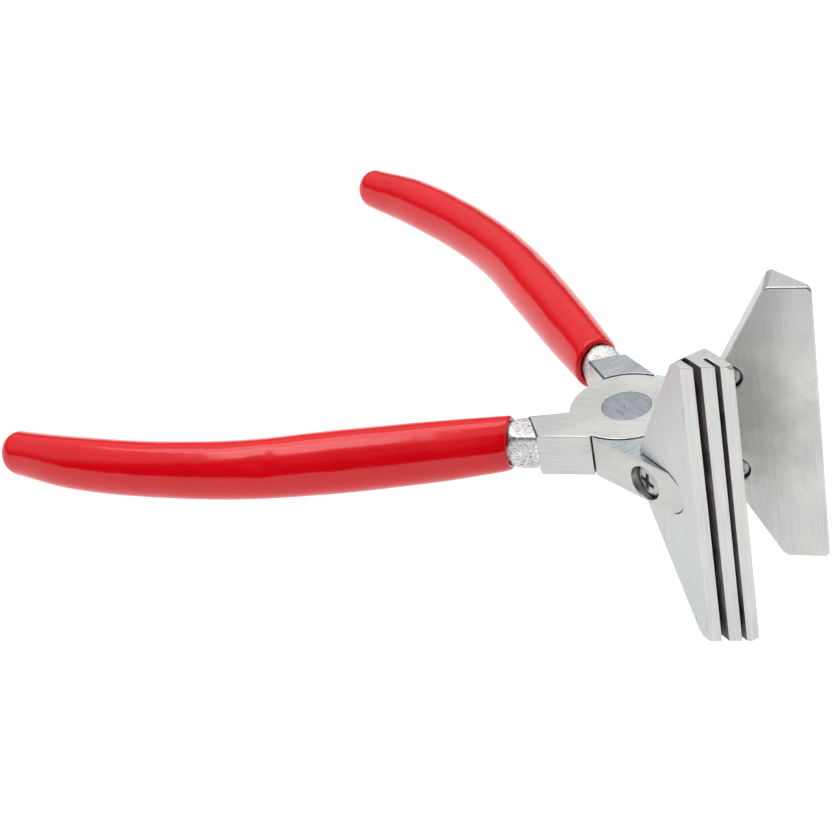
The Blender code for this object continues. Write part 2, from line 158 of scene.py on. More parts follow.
SHANK_STEPS = 14
TANG_SQUARENESS = 2.4
TANG_SHARE = 0.9           # how far along the handle the tang reaches
TANG_GAP = 0.00015         # between the tang and the sleeve

# Jaws
JAW_END_BACK_X = 0.0404
JAW_BACK_HALF_HEIGHT = 0.0075
JAW_CORNER = 0.0011
PLAIN_BEVEL = 0.00040
SLOTTED_BEVEL = 0.00014
POCKET_FLOOR_Y = ARM_INNER_Y - GAP
POCKET_CLEARANCE = 0.00028
SLOTTED_RIDGE_X = 0.0443
SLOTTED_LIP = 0.0005
PLAIN_RIDGE_X = 0.0408
PLAIN_LIP = 0.0010
SLOTS = ((0.0029, 0.0039, 0.0451), (0.0065, 0.0080, 0.0400))

# Screws
JAW_SCREW_CENTRE = (JAW_SCREW_LOW + JAW_SCREW_HIGH) / 2
JAW_SCREW_AXIS = (JAW_SCREW_CENTRE.x, 0.0, JAW_SCREW_CENTRE.z)
COUNTERBORE_RADIUS = 0.0051
COUNTERBORE_FLOOR_Y = 0.0091
SCREW_HOLE_RADIUS = 0.0025
FACE_SCREW_CENTRE = (FACE_SCREW_LOW + FACE_SCREW_HIGH) / 2
FACE_SCREW_RISE = 0.0007   # the pair sits a little above the jaw's middle
FACE_SEAT_DEPTH = 0.0021   # below the top of the screw's head
SCREW_STEPS = 64
# turn is the cross's angle, and arm is half its width as a share of the head's radius
JAW_SCREW = {"height": 0.0023, "shank_radius": 0.0022, "turn": 8.0, "arm": 0.14}
FACE_SCREW = {"height": 0.0018, "shank_radius": 0.0015, "turn": 52.0, "arm": 0.20}

# ---------------------------------------------------------------- mesh tools


def mesh_object(name, bm):
    """Turn a bmesh into an object, with its faces pointing out."""
    bmesh.ops.recalc_face_normals(bm, faces=bm.faces)
    mesh = bpy.data.meshes.new(name)
    bm.to_mesh(mesh)
    bm.free()
    piece = bpy.data.objects.new(name, mesh)
    bpy.context.scene.collection.objects.link(piece)
    return piece


def prism(name, outline, axis, low, high):
    """Extrude an outline of (x, y) points along Z, or of (x, z) points along Y."""
    bm = bmesh.new()
    if axis == "Z":
        corners = [bm.verts.new((x, y, low)) for x, y in outline]
        travel = Vector((0, 0, high - low))
    else:
        corners = [bm.verts.new((x, low, z)) for x, z in outline]
        travel = Vector((0, high - low, 0))
    base = bm.faces.new(corners)
    grown = bmesh.ops.extrude_face_region(bm, geom=[base])
    top = [item for item in grown["geom"] if isinstance(item, bmesh.types.BMVert)]
    bmesh.ops.translate(bm, verts=top, vec=travel)
    return mesh_object(name, bm)


def loft(name, rings):
    """Skin a row of rings and close both ends. A ring of one point is a pole."""
    bm = bmesh.new()
    rows = [[bm.verts.new(point) for point in ring] for ring in rings]
    for row, following in zip(rows, rows[1:]):
        count = max(len(row), len(following))
        for i in range(count):
            j = (i + 1) % count
            if len(row) == 1:
                bm.faces.new((row[0], following[i], following[j]))
            elif len(following) == 1:
                bm.faces.new((row[i], following[0], row[j]))
            else:
                bm.faces.new((row[i], following[i], following[j], row[j]))
    for row in (rows[0], rows[-1]):
        if len(row) > 1:
            bm.faces.new(row)
    return mesh_object(name, bm)


def turned(name, profile, steps, axis="Z", centre=(0.0, 0.0, 0.0)):
    """A solid of revolution. The profile holds (radius, place along the axis)."""
    rings = []
    for radius, height in profile:
        ring = []
        for step in range(steps if radius > 0 else 1):
            angle = 2 * math.pi * step / steps
            across = radius * math.cos(angle)
            along = radius * math.sin(angle)
            if axis == "Z":
                offset = Vector((across, along, height))
            else:
                offset = Vector((across, height, along))
            ring.append(Vector(centre) + offset)
        rings.append(ring)
    return loft(name, rings)


def boolean(target, tool, operation="DIFFERENCE"):
    """Apply a Boolean of the tool to the target and remove the tool."""
    modifier = target.modifiers.new(operation.lower(), "BOOLEAN")
    modifier.operation = operation
    modifier.solver = "EXACT"
    modifier.object = tool
    bpy.context.view_layer.update()
    graph = bpy.context.evaluated_depsgraph_get()
    result = bpy.data.meshes.new_from_object(target.evaluated_get(graph))
    target.modifiers.clear()
    target.data = result
    bpy.data.objects.remove(tool, do_unlink=True)


def sharp_edges(bm, limit):
    """The edges of a bmesh that turn by more than the limit."""
    turn = math.radians(limit)
    return [edge for edge in bm.edges
            if len(edge.link_faces) == 2 and edge.calc_face_angle() > turn]


def bevel(piece, width, segments=3, limit=38.0, chosen=None, material=-1):
    """Round a piece's sharp edges, or those that chosen() picks."""
    bm = bmesh.new()
    bm.from_mesh(piece.data)
    bmesh.ops.remove_doubles(bm, verts=bm.verts, dist=1e-6)
    edges = [edge for edge in sharp_edges(bm, limit) if chosen is None or chosen(edge)]
    bmesh.ops.bevel(bm, geom=edges, offset=width, segments=segments, profile=0.5,
                    affect="EDGES", clamp_overlap=False, loop_slide=True,
                    material=material)
    bm.to_mesh(piece.data)
    bm.free()


def polar(radius, degrees):
    """The plane point at a radius and an angle."""
    angle = math.radians(degrees)
    return (radius * math.cos(angle), radius * math.sin(angle))


def arc(radius, start, end, steps, centre=(0.0, 0.0)):
    """Points along an arc from one angle to another, both ends included."""
    points = []
    for step in range(steps + 1):
        x, y = polar(radius, start + (end - start) * step / steps)
        points.append((centre[0] + x, centre[1] + y))
    return points


def place(piece, lever, body, node, slot, *materials):
    """Put a piece on its lever, in place of its CAD node, with its materials."""
    for material in materials:
        piece.data.materials.append(material)
    piece.matrix_world = lever
    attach(piece, body)
    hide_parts(node)
    return piece


def smooth(piece, angle=40.0):
    """Shade a piece smooth where it curves and flat on its large plane faces."""
    piece.data.shade_smooth()
    piece.data.set_sharp_from_angle(angle=math.radians(angle))
    for face in piece.data.polygons:
        if face.area > FLAT_AREA:
            face.use_smooth = False
    weighted = piece.modifiers.new("flats", "WEIGHTED_NORMAL")
    weighted.keep_sharp = True
    weighted.weight = 80


# ---------------------------------------------------------------- materials


def new_material(name):
    """An empty node material and its shader."""
    material = bpy.data.materials.new(name)
    material.use_nodes = True
    return material, material.node_tree.nodes["Principled BSDF"]


def add(tree, kind, inputs=None, **settings):
    """Add a node, set its properties, and set or link its inputs."""
    made = tree.nodes.new(kind)
    for key, value in settings.items():
        setattr(made, key, value)
    for key, value in (inputs or {}).items():
        if isinstance(value, bpy.types.NodeSocket):
            tree.links.new(value, made.inputs[key])
        else:
            made.inputs[key].default_value = value
    return made


def ramp(tree, source, stops):
    """A colour ramp over a value. Each stop is a position and a grey or a colour."""
    made = add(tree, "ShaderNodeValToRGB", {"Fac": source})
    elements = made.color_ramp.elements
    while len(elements) < len(stops):
        elements.new(1.0)
    for element, (position, colour) in zip(elements, stops):
        element.position = position
        grey = isinstance(colour, float)
        element.color = (colour, colour, colour, 1) if grey else (*colour, 1)
    return made.outputs["Color"]


def stretched_noise(tree, where, scale, detail=4.0, rough=0.6, turn=(0, 0, 0)):
    """Noise over coordinates that are turned, then scaled differently along each axis."""
    turned_by = [math.radians(angle) for angle in turn]
    turned_way = add(tree, "ShaderNodeMapping", {"Vector": where, "Rotation": turned_by})
    mapped = add(tree, "ShaderNodeMapping",
                 {"Vector": turned_way.outputs["Vector"], "Scale": scale})
    made = add(tree, "ShaderNodeTexNoise",
               {"Vector": mapped.outputs["Vector"], "Scale": 1.0, "Detail": detail,
                "Roughness": rough})
    return made.outputs["Fac"]


def mix_value(tree, first, second, factor):
    """A mix of two values or sockets."""
    made = add(tree, "ShaderNodeMix", {"Factor": factor, "A": first, "B": second})
    return made.outputs["Result"]


def maths(tree, operation, first, second=0.0):
    """One arithmetic step."""
    made = add(tree, "ShaderNodeMath", {0: first, 1: second}, operation=operation)
    return made.outputs["Value"]


def mix_colour(tree, first, second, factor, blend="MIX"):
    """A blend of two colours or colour sockets."""
    made = tree.nodes.new("ShaderNodeMix")
    made.data_type = "RGBA"
    made.blend_type = blend
    for index, value in ((0, factor), (6, first), (7, second)):
        if isinstance(value, bpy.types.NodeSocket):
            tree.links.new(value, made.inputs[index])
        elif index == 0:
            made.inputs[index].default_value = value
        else:
            made.inputs[index].default_value = (*value, 1.0)
    return made.outputs[2]


def steel(name, light, dark, grain, roughness, bump=0.12, cloud=55.0,
          turn=(0, 0, 0), depth=0.55):
    """Brushed steel: fine stretched grain, cloudy tone and a few long scratches.

    light and dark are the ends of the cloudy tone, and roughness holds its lowest and
    highest value. grain is the noise scale along each axis, lowest along the brushing,
    and depth is how strongly it shows.
    """
    material, shader = new_material(name)
    tree = material.node_tree
    where = add(tree, "ShaderNodeTexCoord").outputs["Object"]
    fine = stretched_noise(tree, where, grain, 3.0, 0.65, turn)
    broad = stretched_noise(tree, where, [axis * 0.22 for axis in grain], 3.0, 0.6, turn)
    clouds = stretched_noise(tree, where, (cloud, cloud, cloud), 3.0, 0.55)
    scratch_grain = [axis * 0.35 for axis in grain]
    scratches = stretched_noise(tree, where, scratch_grain, 2.0, 0.5,
                                (turn[0] + 7, turn[1] + 9, turn[2] + 8))
    lines = ramp(tree, scratches, ((0.30, 0.0), (0.36, 1.0)))

    tone = ramp(tree, clouds, ((0.30, dark), (0.70, light)))
    streak = ramp(tree, fine, ((0.34, 0.74), (0.64, 1.0)))
    coloured = mix_colour(tree, tone, streak, depth, "MULTIPLY")
    coloured = mix_colour(tree, coloured, lines, 0.10, "MULTIPLY")
    tree.links.new(coloured, shader.inputs["Base Color"])

    low, high = roughness
    wear = mix_value(tree, fine, clouds, 0.45)
    rough = add(tree, "ShaderNodeMapRange",
                {"Value": wear, "From Min": 0.3, "From Max": 0.7,
                 "To Min": low, "To Max": high})
    tree.links.new(rough.outputs["Result"], shader.inputs["Roughness"])

    relief = maths(tree, "ADD", fine, maths(tree, "MULTIPLY", broad, 0.6))
    relief = maths(tree, "ADD", relief, maths(tree, "MULTIPLY", lines, 0.25))
    bumped = add(tree, "ShaderNodeBump",
                 {"Height": relief, "Strength": bump, "Distance": 0.0002})
    tree.links.new(bumped.outputs["Normal"], shader.inputs["Normal"])
    shader.inputs["Metallic"].default_value = 1.0
    return material


def forged_steel():
    """The rough as-forged skin of the shank: scaly, pitted and unevenly bright."""
    material, shader = new_material("forged_skin")
    tree = material.node_tree
    where = add(tree, "ShaderNodeTexCoord").outputs["Object"]
    scale = stretched_noise(tree, where, (1500, 1500, 1500), 5.0, 0.7)
    patches = ramp(tree, stretched_noise(tree, where, (260, 260, 260), 2.0, 0.5),
                   ((0.34, 0.25), (0.50, 1.0)))
    lumps = stretched_noise(tree, where, (330, 330, 330), 3.0, 0.55)
    tone = ramp(tree, scale, ((0.33, (0.07, 0.065, 0.065)), (0.43, (0.46, 0.45, 0.44)),
                              (0.52, (0.68, 0.68, 0.67)), (0.70, (0.84, 0.84, 0.83))))
    clean = ramp(tree, scale, ((0.35, (0.36, 0.36, 0.35)), (0.60, (0.64, 0.64, 0.63))))
    tree.links.new(mix_colour(tree, clean, tone, patches), shader.inputs["Base Color"])
    rough = ramp(tree, lumps, ((0.35, 0.26), (0.65, 0.50)))
    tree.links.new(rough, shader.inputs["Roughness"])
    relief = maths(tree, "ADD", maths(tree, "MULTIPLY", lumps, 1.5), scale)
    bumped = add(tree, "ShaderNodeBump",
                 {"Height": relief, "Strength": 0.45, "Distance": 0.0004})
    tree.links.new(bumped.outputs["Normal"], shader.inputs["Normal"])
    shader.inputs["Metallic"].default_value = 1.0
    return material


def dipped_vinyl():
    """Glossy red dipped vinyl with a faint orange peel and a few specks."""
    material, shader = new_material("dipped_vinyl")
    tree = material.node_tree
    where = add(tree, "ShaderNodeTexCoord").outputs["Object"]
    clouds = stretched_noise(tree, where, (45, 45, 45), 3.0, 0.5)
    colour = ramp(tree, clouds, ((0.30, (0.640, 0.0012, 0.0064)),
                                 (0.70, (0.700, 0.0022, 0.0084))))
    cells = add(tree, "ShaderNodeTexVoronoi", {"Vector": where, "Scale": 210.0})
    speck = ramp(tree, cells.outputs["Distance"], ((0.0, 1.0), (0.050, 0.0)))
    colour = mix_colour(tree, colour, (0.80, 0.16, 0.14),
                        maths(tree, "MULTIPLY", speck, 0.35))
    tree.links.new(colour, shader.inputs["Base Color"])
    peel = stretched_noise(tree, where, (420, 420, 420), 2.0, 0.4)
    dips = stretched_noise(tree, where, (90, 90, 90), 2.0, 0.4)
    rough = add(tree, "ShaderNodeMapRange",
                {"Value": dips, "From Min": 0.3, "From Max": 0.7,
                 "To Min": 0.11, "To Max": 0.17})
    tree.links.new(rough.outputs["Result"], shader.inputs["Roughness"])
    relief = maths(tree, "ADD", maths(tree, "MULTIPLY", dips, 3.0),
                   maths(tree, "MULTIPLY", peel, 0.3))
    bumped = add(tree, "ShaderNodeBump",
                 {"Height": relief, "Strength": 0.25, "Distance": 0.0003})
    tree.links.new(bumped.outputs["Normal"], shader.inputs["Normal"])
    shader.inputs["IOR"].default_value = 1.46
    return material


def ground_jaw_face():
    """The plain jaw's ground steel, with curved grinding marks and a darker patch in the middle
    of the face that is a painted dark reflection of the near jaw.
    """
    material, shader = new_material("ground_jaw")
    tree = material.node_tree
    where = add(tree, "ShaderNodeTexCoord").outputs["Object"]
    reach = add(tree, "ShaderNodeVectorMath", {0: where, 1: (-0.010, 0.0, -0.030)},
                operation="DISTANCE").outputs["Value"]
    rings = add(tree, "ShaderNodeTexNoise",
                {"W": reach, "Scale": 2600.0, "Detail": 3.0, "Roughness": 0.6},
                noise_dimensions="1D").outputs["Fac"]
    clouds = stretched_noise(tree, where, (38, 38, 38), 4.0, 0.6)
    mask = ramp(tree, stretched_noise(tree, where, (70, 70, 70), 2.0, 0.5),
                ((0.38, 0.0), (0.62, 1.0)))
    grain = stretched_noise(tree, where, (2600, 2600, 60), 3.0, 0.6)
    marks = mix_value(tree, grain, rings, mask)
    tone = ramp(tree, clouds, ((0.34, (0.56, 0.565, 0.56)),
                               (0.62, (0.655, 0.655, 0.635))))
    # painted reflection: the middle of the face is darkened where the near jaw is reflected
    reflected_jaw_reach = add(tree, "ShaderNodeVectorMath", {0: where, 1: (0.031, 0.0, 0.003)},
               operation="DISTANCE").outputs["Value"]
    ragged = stretched_noise(tree, where, (150, 150, 150), 4.0, 0.65)
    reflected_jaw_reach = maths(tree, "ADD", reflected_jaw_reach, maths(tree, "MULTIPLY", ragged, 0.022))
    painted_jaw_reflection = ramp(tree, reflected_jaw_reach, ((0.016, 0.74), (0.034, 1.0)))
    tone = mix_colour(tree, tone, painted_jaw_reflection, 1.0, "MULTIPLY")
    streak = ramp(tree, marks, ((0.34, 0.76), (0.66, 1.0)))
    tone = mix_colour(tree, tone, streak, 0.6, "MULTIPLY")
    tree.links.new(tone, shader.inputs["Base Color"])
    rough = add(tree, "ShaderNodeMapRange",
                {"Value": clouds, "From Min": 0.3, "From Max": 0.7,
                 "To Min": 0.40, "To Max": 0.28})
    tree.links.new(rough.outputs["Result"], shader.inputs["Roughness"])
    bumped = add(tree, "ShaderNodeBump",
                 {"Height": marks, "Strength": 0.14, "Distance": 0.0002})
    tree.links.new(bumped.outputs["Normal"], shader.inputs["Normal"])
    shader.inputs["Metallic"].default_value = 1.0
    return material


def painted_seam_shade_material():
    """A dark material painted into the slots, the levers' seams and the screws' recesses as
    shade, and onto the block's back edges as a dark reflection.
    """
    material, shader = new_material("painted_seam_shade")
    tree = material.node_tree
    where = add(tree, "ShaderNodeTexCoord").outputs["Object"]
    grain = stretched_noise(tree, where, (500, 500, 120), 4.0, 0.6)
    tone = ramp(tree, grain, ((0.35, (0.045, 0.032, 0.038)), (0.65, (0.190, 0.155, 0.170))))
    tree.links.new(tone, shader.inputs["Base Color"])
    shader.inputs["Metallic"].default_value = 0.2
    shader.inputs["Roughness"].default_value = 0.60
    return material


# ---------------------------------------------------------------- levers


def lever_outline():
    """The lever's outline seen along the rivet, counterclockwise."""
    inner_angle = math.degrees(math.asin(ARM_INNER_Y / HUB_RADIUS))
    outline = [polar(BLOCK_SHOULDER_RADIUS, BLOCK_SHOULDER)]
    outline += arc(HUB_RADIUS, BLOCK_SHOULDER, inner_angle, HUB_ARC_STEPS[0])
    outline.append((ARM_TIP_X, ARM_INNER_Y))
    outline.append((ARM_TIP_X, ARM_TIP_OUTER_Y))
    outline.append(polar(ARM_SHOULDER_RADIUS, ARM_SHOULDER))
    outline += arc(HUB_RADIUS, ARM_SHOULDER, BLOCK_INNER_ANGLE, HUB_ARC_STEPS[1])
    outline.append(BLOCK_INNER_CORNER)
    outline.append(BLOCK_OUTER_CORNER)
    return outline


def rivet_flank(clearance, top):
    """Half of the rivet's side, from its waist up: radius and height."""
    return [
        (RIVET_RADIUS + clearance, top - RIVET_HEAD_DEPTH),
        (RIVET_HEAD_RADIUS + clearance, top - RIVET_HEAD_LAND),
        (RIVET_HEAD_RADIUS + clearance, top + OVERCUT),
    ]


def machined_lever(name):
    """The machined end of a lever: hub half, handle block, arm and lug."""
    half = HALF_THICKNESS
    lever = prism(name, lever_outline(), "Z", -half, half)
    lap = turned("lap", ((LAP_RADIUS, -half - OVERCUT), (LAP_RADIUS, GAP / 2)), HUB_STEPS)
    boolean(lever, lap)
    lug_centre = ARM_TIP_X - LUG_RADIUS
    beyond = ARM_TIP_X + OVERCUT
    corner = [
        (lug_centre, -half - OVERCUT), (beyond, -half - OVERCUT),
        (beyond, half + OVERCUT), (lug_centre, half + OVERCUT),
        *arc(LUG_RADIUS, 90, -90, LUG_STEPS, (lug_centre, 0.0)),
    ]
    boolean(lever, prism("lug_end", corner, "Y", 0.0, HUB_RADIUS))
    bore = ((SCREW_HOLE_RADIUS, 0.0), (SCREW_HOLE_RADIUS, COUNTERBORE_FLOOR_Y),
            (COUNTERBORE_RADIUS, COUNTERBORE_FLOOR_Y), (COUNTERBORE_RADIUS, HUB_RADIUS))
    boolean(lever, turned("counterbore", bore, SCREW_STEPS, "Y", JAW_SCREW_AXIS))

    def on_block_back(edge):
        ends = [vertex.co for vertex in edge.verts]
        middle = (ends[0] + ends[1]) / 2
        flat = all(abs(end.z) > half - 1e-5 for end in ends)
        return flat and middle.x < BLOCK_BACK_X and middle.y > BLOCK_OUTER_Y

    # the back-edge chamfer takes the dark material: a painted dark reflection
    bevel(lever, BLOCK_STEP, 2, chosen=on_block_back, material=1)
    bevel(lever, LEVER_BEVEL)
    profile = [(0.0, -OVERCUT), (RIVET_RADIUS + GAP, -OVERCUT)]
    profile += rivet_flank(RIVET_SEAM, RIVET_HIGH.z)
    profile.append((0.0, half + 2 * OVERCUT))
    boolean(lever, turned("rivet_hole", profile, HUB_STEPS))
    smooth(lever)
    return lever


def finish_lever(lever):
    """Paint shade into the lever's seams, the lap and the shoulder faces, and give its ground
    top and bottom their own material.
    """
    near = 1e-4
    for face in lever.data.polygons:
        radius = face.center.xy.length
        in_lap = face.center.z < GAP and 1e-3 < radius < LAP_RADIUS + near
        at_shoulder = HUB_RADIUS - near < radius < BLOCK_SHOULDER_RADIUS - near
        upright = abs(face.normal.z) < 0.3
        across_hub = abs(face.normal.xy.dot(face.center.xy)) < 0.4 * radius
        # the lap and the shoulder faces get the dark material: painted shade in the seams
        if in_lap or (at_shoulder and upright and across_hub):
            face.material_index = 1
        elif abs(face.normal.z) > 0.9 and face.material_index == 0:
            face.material_index = 2


def handle_path(up, steps):
    """Stations of the handle from front to back; up is the sign of its rise."""
    stations = [Vector((x, y, up * rise, radius)) for x, y, rise, radius in HANDLE_STATIONS]
    ends = (2 * stations[0] - stations[1], 2 * stations[-1] - stations[-2])
    knots = [ends[0], *stations, ends[1]]
    path = []
    for before, start, end, after in zip(knots, knots[1:], knots[2:], knots[3:]):
        for step in range(steps):
            t = step / steps
            bend = (2 * before - 5 * start + 4 * end - after) * t
            twist = (3 * start - before - 3 * end + after) * t * t
            path.append(start + (end - before + bend + twist) * t / 2)
    path.append(stations[-1])
    return path


def headings(path, steps):
    """The direction of travel at each station, easing out of the square front."""
    square = Vector((-1, 0, 0))
    ease = steps // 4
    result = []
    for i in range(len(path)):
        ahead = path[min(i + 1, len(path) - 1)]
        behind = path[max(i - 1, 0)]
        way = Vector((ahead.x - behind.x, ahead.y - behind.y, 0)).normalized()
        result.append(square.lerp(way, min(1.0, i / ease)).normalized())
    return result


def squared(value, squareness):
    """A sine or cosine drawn out towards the side of a square."""
    return math.copysign(abs(value) ** (2 / squareness), value)


def hoop(centre, heading, level, upright, squareness=2.0, uneven=None):
    """An oval ring round a centre, square to the heading. uneven adds to its size."""
    side = Vector((-heading.y, heading.x, 0))
    up = Vector((0, 0, 1))
    ring = []
    for step in range(GRIP_STEPS):
        angle = 2 * math.pi * step / GRIP_STEPS
        across = level * squared(math.cos(angle), squareness)
        above = upright * squared(math.sin(angle), squareness)
        point = centre + side * across + up * above
        if uneven:
            point += (point - centre).normalized() * uneven(point)
        ring.append(point)
    return ring


def grip_hoop(station, heading, inset, shift=0.0, uneven=None):
    """A grip's ring at a station, drawn in by the inset and shifted along the heading."""
    centre = station.xyz + heading * shift
    level = station.w * GRIP_OVAL - inset
    return hoop(centre, heading, level, station.w - inset, 2.0, uneven)


def shank(name, up):
    """The squared forged shank and the round tang in the grip, uneven all over."""
    path = handle_path(up, SHANK_STEPS)
    ways = headings(path, SHANK_STEPS)

    def uneven(point):
        lump = noise.noise(point * 300.0) * 0.00014
        return lump + noise.noise(point * 1200.0) * 0.00005 - 0.00012

    forward = Vector((-1, 0, 0))
    root, neck = [Vector((x, y, up * rise)) for x, y, rise, *_ in SHANK_STATIONS]
    root_size, neck_size = [Vector(station[3:]) for station in SHANK_STATIONS]
    inset = GRIP_WALL + TANG_GAP
    mouth = path[0]
    mouth_size = Vector((mouth.w * GRIP_OVAL - inset, mouth.w - inset))
    rings = []
    for step in range(SHANK_STEPS):
        t = step / SHANK_STEPS
        size = root_size.lerp(neck_size, t)
        centre = root.lerp(neck, t)
        rings.append(hoop(centre, forward, size.x, size.y, SHANK_SQUARENESS, uneven))
    for step in range(SHANK_STEPS):
        t = step / SHANK_STEPS
        ease = t * t * (3 - 2 * t)
        size = neck_size.lerp(mouth_size, ease)
        centre = neck.lerp(mouth.xyz, t)
        squareness = SHANK_SQUARENESS + (TANG_SQUARENESS - SHANK_SQUARENESS) * ease
        rings.append(hoop(centre, forward, size.x, size.y, squareness, uneven))
    last = round(len(path) * TANG_SHARE) - 1
    for station, way in list(zip(path, ways))[:last]:
        rings.append(grip_hoop(station, way, inset, 0.0, uneven))
    rings.append([path[last].xyz])
    piece = loft(name, rings)
    piece.data.shade_smooth()
    return piece


def sleeve_bore(path, ways):
    """The grip's inside, from its closed end out to the rolled mouth."""
    rings = [[path[BORE_END].xyz]]
    for back in BORE_RINGS:
        rings.append(grip_hoop(path[back], ways[back], GRIP_WALL))
    return rings


def sleeve_lip(mouth, way):
    """The grip's rolled mouth: an inner quarter round, then an outer one."""
    turns = [math.radians(angle) for angle in range(0, 91, 15)]
    rings = []
    for turn in turns:
        inset = GRIP_WALL - LIP_INNER * (1 - math.cos(turn))
        rings.append(grip_hoop(mouth, way, inset, LIP_INNER * (1 - math.sin(turn))))
    for turn in turns:
        inset = SKIN_ALLOWANCE + LIP_OUTER * (1 - math.sin(turn))
        rings.append(grip_hoop(mouth, way, inset, LIP_OUTER * (1 - math.cos(turn))))
    return rings


def sleeve_tip(tail, way, drape):
    """The grip's blunt round end."""
    level = tail.w * GRIP_OVAL
    length = level - SKIN_ALLOWANCE
    rings = []
    for step in range(1, GRIP_TIP_STEPS):
        angle = math.pi / 2 * step / GRIP_TIP_STEPS
        middle = tail.xyz + way * length * squared(math.sin(angle), GRIP_TIP_SQUARENESS)
        shrink = squared(math.cos(angle), GRIP_TIP_SQUARENESS)
        rings.append(hoop(middle, way, level * shrink, tail.w * shrink, 2.0, drape))
    rings.append([tail.xyz + way * length])
    return rings


def grip(name, up, seed):
    """A dipped grip: a sleeve with a rolled mouth, a round end and soft undulations.

    seed is 0 or 1: it shifts the undulations, and only the grip with 0 has the pinch.
    """
    path = handle_path(up, GRIP_PATH_STEPS)
    ways = headings(path, GRIP_PATH_STEPS)
    shift = Vector((seed * 3.1, seed * 1.7, seed * 0.9))
    pinched = Vector((PINCH_PLACE[0], PINCH_PLACE[1], up * PINCH_PLACE[2]))

    def drape(point):
        wave = noise.noise(point * 38.0 + shift) * 0.00016
        wave += noise.noise(point * 110.0 + shift) * 0.00004
        pinch = PINCH_DEPTH * math.exp(-((point - pinched).length / PINCH_WIDTH) ** 2)
        return wave - pinch * (1 - seed) - SKIN_ALLOWANCE

    rings = sleeve_bore(path, ways) + sleeve_lip(path[0], ways[0])
    for station, heading in list(zip(path, ways))[LIP_RINGS:]:
        rings.append(grip_hoop(station, heading, 0.0, 0.0, drape))
    rings += sleeve_tip(path[-1], ways[-1], drape)
    piece = loft(name, rings)
    piece.data.shade_smooth()
    return piece


# ---------------------------------------------------------------- jaws


def jaw_outline():
    """The jaw's outline seen square to its gripping face, in X and Z."""
    half = JAW_HIGH.z
    front = JAW_HIGH.x
    side = Vector((JAW_END_BACK_X - JAW_LOW.x, half - JAW_BACK_HALF_HEIGHT)).normalized()
    upper = [
        (front, half - JAW_CORNER),
        (front - JAW_CORNER, half),
        (JAW_END_BACK_X + JAW_CORNER, half),
        (JAW_END_BACK_X - side.x * JAW_CORNER, half - side.y * JAW_CORNER),
        (JAW_LOW.x, JAW_BACK_HALF_HEIGHT),
    ]
    return upper + [(x, -z) for x, z in reversed(upper)]


def front_cutter(ridge_x, lip):
    """A wedge that slopes the jaw's front from its ridge to its thin lip."""
    lip_y = JAW_LOW.y + lip
    lean = (JAW_HIGH.x - ridge_x) / (JAW_HIGH.y - lip_y)
    above = JAW_HIGH.y + OVERCUT
    ahead = JAW_HIGH.x + OVERCUT
    outline = [
        (ridge_x - lean * OVERCUT, above),
        (ahead, lip_y - OVERCUT / lean),
        (ahead, above),
    ]
    reach = JAW_HIGH.z + OVERCUT
    return prism("front", outline, "Z", -reach, reach)


def stadium(radius, centre_x, back_x):
    """Outline of a bar with a round front end, in X and Z."""
    front = arc(radius, -90, 90, LUG_STEPS, (centre_x, 0.0))
    return [(back_x, -radius), *front, (back_x, radius)]


def blank_jaw(name, ridge_x, lip):
    """A jaw's plate with its sloped front and the pocket for the lug."""
    jaw = prism(name, jaw_outline(), "Y", JAW_LOW.y, JAW_HIGH.y)
    boolean(jaw, front_cutter(ridge_x, lip))
    pocket = stadium(LUG_RADIUS + POCKET_CLEARANCE, ARM_TIP_X - LUG_RADIUS,
                     JAW_LOW.x - OVERCUT)
    boolean(jaw, prism("pocket", pocket, "Y", POCKET_FLOOR_Y, JAW_HIGH.y + OVERCUT))
    return jaw


def slotted_jaw():
    """The near jaw, with two slots along its thick sloped front."""
    jaw = blank_jaw("slotted_jaw_look", SLOTTED_RIDGE_X, SLOTTED_LIP)
    reach = JAW_HIGH.z + OVERCUT
    ahead = JAW_HIGH.x + OVERCUT
    for near, far, floor in SLOTS:
        outline = [(floor, near), (ahead, near), (ahead, far), (floor, far)]
        boolean(jaw, prism("slot", outline, "Z", -reach, reach))
    bevel(jaw, SLOTTED_BEVEL)
    smooth(jaw)
    return jaw


def darken_slots(jaw, material):
    """Paint the walls and floors of the slots dark, as painted shade."""
    slack = 1e-5
    jaw.data.materials.append(material)
    for face in jaw.data.polygons:
        for near, far, floor in SLOTS:
            level = near - slack <= face.center.y <= far + slack
            inside = level and face.center.x >= floor - slack
            # painted shade on the slot walls and floors
            if inside and abs(face.normal.z) < 0.5:
                face.material_index = 1


def cool_outer_face(jaw, material):
    """Give the jaw's wide outer face its duller, cooler grinding."""
    jaw.data.materials.append(material)
    for face in jaw.data.polygons:
        wide = face.normal.y > 0.5 and face.normal.x < 0.2
        if wide and face.material_index == 0:
            face.material_index = 2


def face_screw_axis(side):
    """A point on a face screw's axis; side is +1 for the upper screw, -1 for the lower."""
    half_spacing = FACE_SCREW_CENTRE.z - FACE_SCREW_RISE
    return (FACE_SCREW_CENTRE.x, 0.0, FACE_SCREW_RISE + side * half_spacing)


def plain_jaw():
    """The far jaw: a wedge with two sunk screw seats in its face."""
    jaw = blank_jaw("plain_jaw_look", PLAIN_RIDGE_X, PLAIN_LIP)
    radius = FACE_SCREW_HIGH.x - FACE_SCREW_CENTRE.x + GAP
    seat = ((radius, -OVERCUT), (radius, FACE_SCREW_LOW.y + FACE_SEAT_DEPTH))
    for side in (1, -1):
        boolean(jaw, turned("seat", seat, SCREW_STEPS, "Y", face_screw_axis(side)))
    bevel(jaw, PLAIN_BEVEL)
    smooth(jaw)
    return jaw


# ---------------------------------------------------------------- fasteners


